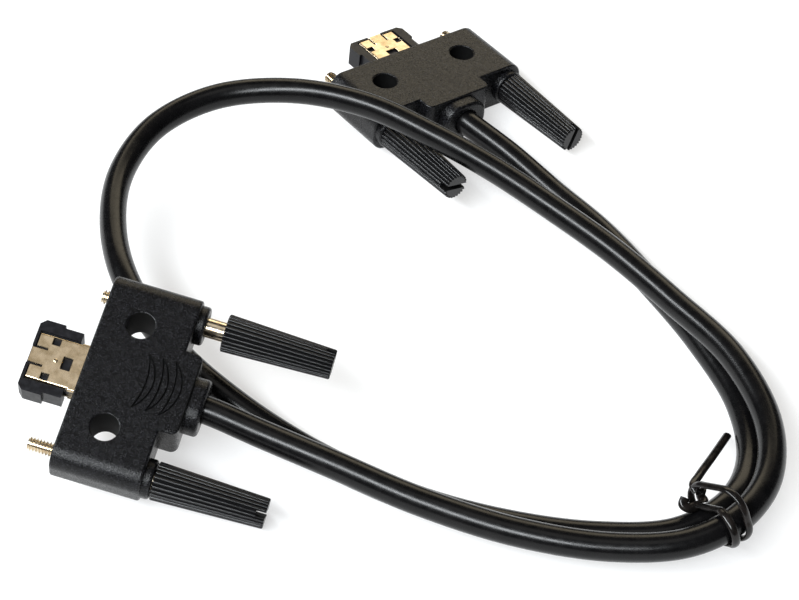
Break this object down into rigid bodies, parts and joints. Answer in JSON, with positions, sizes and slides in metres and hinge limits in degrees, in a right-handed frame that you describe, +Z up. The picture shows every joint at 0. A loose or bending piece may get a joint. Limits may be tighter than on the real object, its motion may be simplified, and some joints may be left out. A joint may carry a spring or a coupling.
{
  "type": "screw-locking external drive cable",
  "caption": "Short round black data cable in a loose tied loop, with the same flat screw-locking plug connector and ribbed thumbscrews on each end.",
  "frame": {"origin": "centre of the two connectors' footprint, on the surface they lie on", "axes": "+Z up; +X to the right and +Y away from the viewer, as in the picture"},
  "size_m": [0.1479, 0.1578, 0.0258],
  "materials": {
    "moulded_black": "fine spark-eroded texture",
    "inner_white": "natural moulded plastic",
    "insulator_black": "fine moulded plastic",
    "shell_nickel": "warm nickel plating",
    "contact_gold": "gold plating",
    "screw_nickel": "turned, warm nickel plating",
    "spring_steel": "bright spring steel",
    "crimp_metal": "plain metal",
    "knob_black": "ribbed satin plastic",
    "wire_blue": "extruded insulation",
    "cable_black": "smooth glossy jacket",
    "tie_black": "glossy plastic-coated wire"
  },
  "bodies": {
    "cable": {"cable_jacket": "cable_black", "twist_tie": "tie_black", "end_a_overmould": "moulded_black", "end_a_inner_mould": "inner_white", "end_a_crimp_ferrule": "crimp_metal", "end_a_wire_pair_1": "wire_blue", "end_a_wire_pair_2": "wire_blue", "end_a_shield_top": "shell_nickel", "end_a_shield_bottom": "shell_nickel", "end_a_insulator": "insulator_black", "end_a_contact_1": "contact_gold", "end_a_contact_2": "contact_gold", "end_a_contact_3": "contact_gold", "end_a_contact_4": "contact_gold", "end_a_contact_5": "contact_gold", "end_a_contact_6": "contact_gold", "end_a_contact_7": "contact_gold", "end_b_overmould": "moulded_black", "end_b_inner_mould": "inner_white", "end_b_crimp_ferrule": "crimp_metal", "end_b_wire_pair_1": "wire_blue", "end_b_wire_pair_2": "wire_blue", "end_b_shield_top": "shell_nickel", "end_b_shield_bottom": "shell_nickel", "end_b_insulator": "insulator_black", "end_b_contact_1": "contact_gold", "end_b_contact_2": "contact_gold", "end_b_contact_3": "contact_gold", "end_b_contact_4": "contact_gold", "end_b_contact_5": "contact_gold", "end_b_contact_6": "contact_gold", "end_b_contact_7": "contact_gold"},
    "end_a_left_clip": {"end_a_clip_left": "spring_steel"},
    "end_a_left_screw": {"end_a_screw_left": "screw_nickel", "end_a_knob_left": "knob_black"},
    "end_a_right_clip": {"end_a_clip_right": "spring_steel"},
    "end_a_right_screw": {"end_a_screw_right": "screw_nickel", "end_a_knob_right": "knob_black"},
    "end_b_left_clip": {"end_b_clip_left": "spring_steel"},
    "end_b_left_screw": {"end_b_screw_left": "screw_nickel", "end_b_knob_left": "knob_black"},
    "end_b_right_clip": {"end_b_clip_right": "spring_steel"},
    "end_b_right_screw": {"end_b_screw_right": "screw_nickel", "end_b_knob_right": "knob_black"}
  },
  "joints": [
    {"name": "end_a_left_slide", "type": "slide", "parent": "cable", "child": "end_a_left_clip", "axis": [-0.9664, 0.1889, 0.1743], "range_m": [-0.0044, 0]},
    {"name": "end_a_left_turn", "type": "hinge", "parent": "end_a_left_clip", "child": "end_a_left_screw", "pos_m": [-0.02885, -0.06761, 0.00676], "axis": [-0.9664, 0.1889, 0.1743], "continuous": true},
    {"name": "end_a_right_slide", "type": "slide", "parent": "cable", "child": "end_a_right_clip", "axis": [-0.9664, 0.1889, 0.1743], "range_m": [-0.0008, 0.0036]},
    {"name": "end_a_right_turn", "type": "hinge", "parent": "end_a_right_clip", "child": "end_a_right_screw", "pos_m": [-0.01748, -0.03776, 0.01682], "axis": [-0.9664, 0.1889, 0.1743], "continuous": true},
    {"name": "end_b_left_slide", "type": "slide", "parent": "cable", "child": "end_b_left_clip", "axis": [-0.6176, 0.7865, -0.0091], "range_m": [-0.0044, 0]},
    {"name": "end_b_left_turn", "type": "hinge", "parent": "end_b_left_clip", "child": "end_b_left_screw", "pos_m": [0.04038, 0.05436, 0.00526], "axis": [-0.6176, 0.7865, -0.0091], "continuous": true},
    {"name": "end_b_right_slide", "type": "slide", "parent": "cable", "child": "end_b_right_clip", "axis": [-0.6176, 0.7865, -0.0091], "range_m": [-0.0044, 0]},
    {"name": "end_b_right_turn", "type": "hinge", "parent": "end_b_right_clip", "child": "end_b_right_screw", "pos_m": [0.01428, 0.0339, 0.00827], "axis": [-0.6176, 0.7865, -0.0091], "continuous": true}
  ]
}
